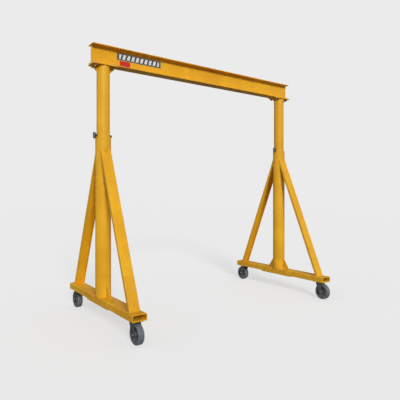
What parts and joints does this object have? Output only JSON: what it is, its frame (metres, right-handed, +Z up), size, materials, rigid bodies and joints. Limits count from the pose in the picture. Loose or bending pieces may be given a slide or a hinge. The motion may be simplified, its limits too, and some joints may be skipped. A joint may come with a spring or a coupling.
{
  "type": "portable gantry crane",
  "caption": "Steel portable gantry crane: an I-beam on pinned telescoping columns, each braced to a base channel that rolls on swivel casters.",
  "frame": {"origin": "on the floor, under the middle of the span and midway between the front and rear wheels", "axes": "+X along the beam towards the right column, +Y along the base channels towards the rear, +Z up"},
  "size_m": [3.048, 1.77, 3.02],
  "materials": {
    "yellow_paint": "semi-gloss",
    "zinc_steel": "satin",
    "dark_steel": "satin",
    "wheel_iron": "satin",
    "tread_rubber": "matt",
    "bearing_steel": "polished",
    "guide_nylon": "matt",
    "placard_face": "semi-gloss",
    "tag_face": "semi-gloss"
  },
  "bodies": {
    "left_frame": {"left_base_channel": "yellow_paint", "left_foot_doubler": "yellow_paint", "left_sleeve": "yellow_paint", "left_foot_gussets": "yellow_paint", "left_front_brace": "yellow_paint", "left_rear_brace": "yellow_paint", "left_mount_plates": "yellow_paint", "left_sleeve_guide": "guide_nylon", "left_caster_plates": "zinc_steel", "left_caster_bolts": "zinc_steel", "left_kingpins": "zinc_steel", "left_swivel_balls": "bearing_steel"},
    "right_frame": {"right_base_channel": "yellow_paint", "right_foot_doubler": "yellow_paint", "right_sleeve": "yellow_paint", "right_foot_gussets": "yellow_paint", "right_front_brace": "yellow_paint", "right_rear_brace": "yellow_paint", "right_mount_plates": "yellow_paint", "right_sleeve_guide": "guide_nylon", "right_caster_plates": "zinc_steel", "right_caster_bolts": "zinc_steel", "right_kingpins": "zinc_steel", "right_swivel_balls": "bearing_steel"},
    "bridge": {"beam": "yellow_paint", "saddle_plates": "yellow_paint", "saddle_gussets": "yellow_paint", "left_mast": "yellow_paint", "right_mast": "yellow_paint", "beam_bolts": "zinc_steel", "beam_nuts": "zinc_steel", "mast_guides": "guide_nylon", "placard": "placard_face", "tag": "tag_face"},
    "left_height_pin": {"left_pin": "dark_steel"},
    "right_height_pin": {"right_pin": "dark_steel"},
    "left_front_swivel": {"left_front_fork": "dark_steel", "left_front_axle_bolt": "zinc_steel", "left_front_axle_bushing": "bearing_steel"},
    "left_front_roller": {"left_front_wheel": "wheel_iron", "left_front_tyre": "tread_rubber", "left_front_roller_bearing": "bearing_steel"},
    "left_rear_swivel": {"left_rear_fork": "dark_steel", "left_rear_axle_bolt": "zinc_steel", "left_rear_axle_bushing": "bearing_steel"},
    "left_rear_roller": {"left_rear_wheel": "wheel_iron", "left_rear_tyre": "tread_rubber", "left_rear_roller_bearing": "bearing_steel"},
    "right_front_swivel": {"right_front_fork": "dark_steel", "right_front_axle_bolt": "zinc_steel", "right_front_axle_bushing": "bearing_steel"},
    "right_front_roller": {"right_front_wheel": "wheel_iron", "right_front_tyre": "tread_rubber", "right_front_roller_bearing": "bearing_steel"},
    "right_rear_swivel": {"right_rear_fork": "dark_steel", "right_rear_axle_bolt": "zinc_steel", "right_rear_axle_bushing": "bearing_steel"},
    "right_rear_roller": {"right_rear_wheel": "wheel_iron", "right_rear_tyre": "tread_rubber", "right_rear_roller_bearing": "bearing_steel"}
  },
  "joints": [
    {"name": "left_height", "type": "slide", "parent": "left_frame", "child": "bridge", "axis": [0, 0, 1], "range_m": [0, 0.6096]},
    {"name": "right_height", "type": "slide", "parent": "bridge", "child": "right_frame", "axis": [0, 0, -1], "range_m": [0, 0.6096]},
    {"name": "left_pin_pull", "type": "slide", "parent": "bridge", "child": "left_height_pin", "axis": [-1, 0, 0], "range_m": [0, 0.18]},
    {"name": "right_pin_pull", "type": "slide", "parent": "bridge", "child": "right_height_pin", "axis": [-1, 0, 0], "range_m": [0, 0.18]},
    {"name": "left_front_swivel_turn", "type": "hinge", "parent": "left_frame", "child": "left_front_swivel", "pos_m": [-1.384, -0.745, 0.2188], "axis": [0, 0, 1], "continuous": true},
    {"name": "left_front_wheel_spin", "type": "hinge", "parent": "left_front_swivel", "child": "left_front_roller", "pos_m": [-1.384, -0.785, 0.1], "axis": [1, 0, 0], "continuous": true},
    {"name": "left_rear_swivel_turn", "type": "hinge", "parent": "left_frame", "child": "left_rear_swivel", "pos_m": [-1.384, 0.745, 0.2188], "axis": [0, 0, 1], "continuous": true},
    {"name": "left_rear_wheel_spin", "type": "hinge", "parent": "left_rear_swivel", "child": "left_rear_roller", "pos_m": [-1.384, 0.785, 0.1], "axis": [1, 0, 0], "continuous": true},
    {"name": "right_front_swivel_turn", "type": "hinge", "parent": "right_frame", "child": "right_front_swivel", "pos_m": [1.384, -0.745, 0.2188], "axis": [0, 0, 1], "continuous": true},
    {"name": "right_front_wheel_spin", "type": "hinge", "parent": "right_front_swivel", "child": "right_front_roller", "pos_m": [1.384, -0.785, 0.1], "axis": [1, 0, 0], "continuous": true},
    {"name": "right_rear_swivel_turn", "type": "hinge", "parent": "right_frame", "child": "right_rear_swivel", "pos_m": [1.384, 0.745, 0.2188], "axis": [0, 0, 1], "continuous": true},
    {"name": "right_rear_wheel_spin", "type": "hinge", "parent": "right_rear_swivel", "child": "right_rear_roller", "pos_m": [1.384, 0.785, 0.1], "axis": [1, 0, 0], "continuous": true}
  ],
  "couplings": [
    {"joint": "right_height", "follows": "left_height", "ratio": 1}
  ]
}
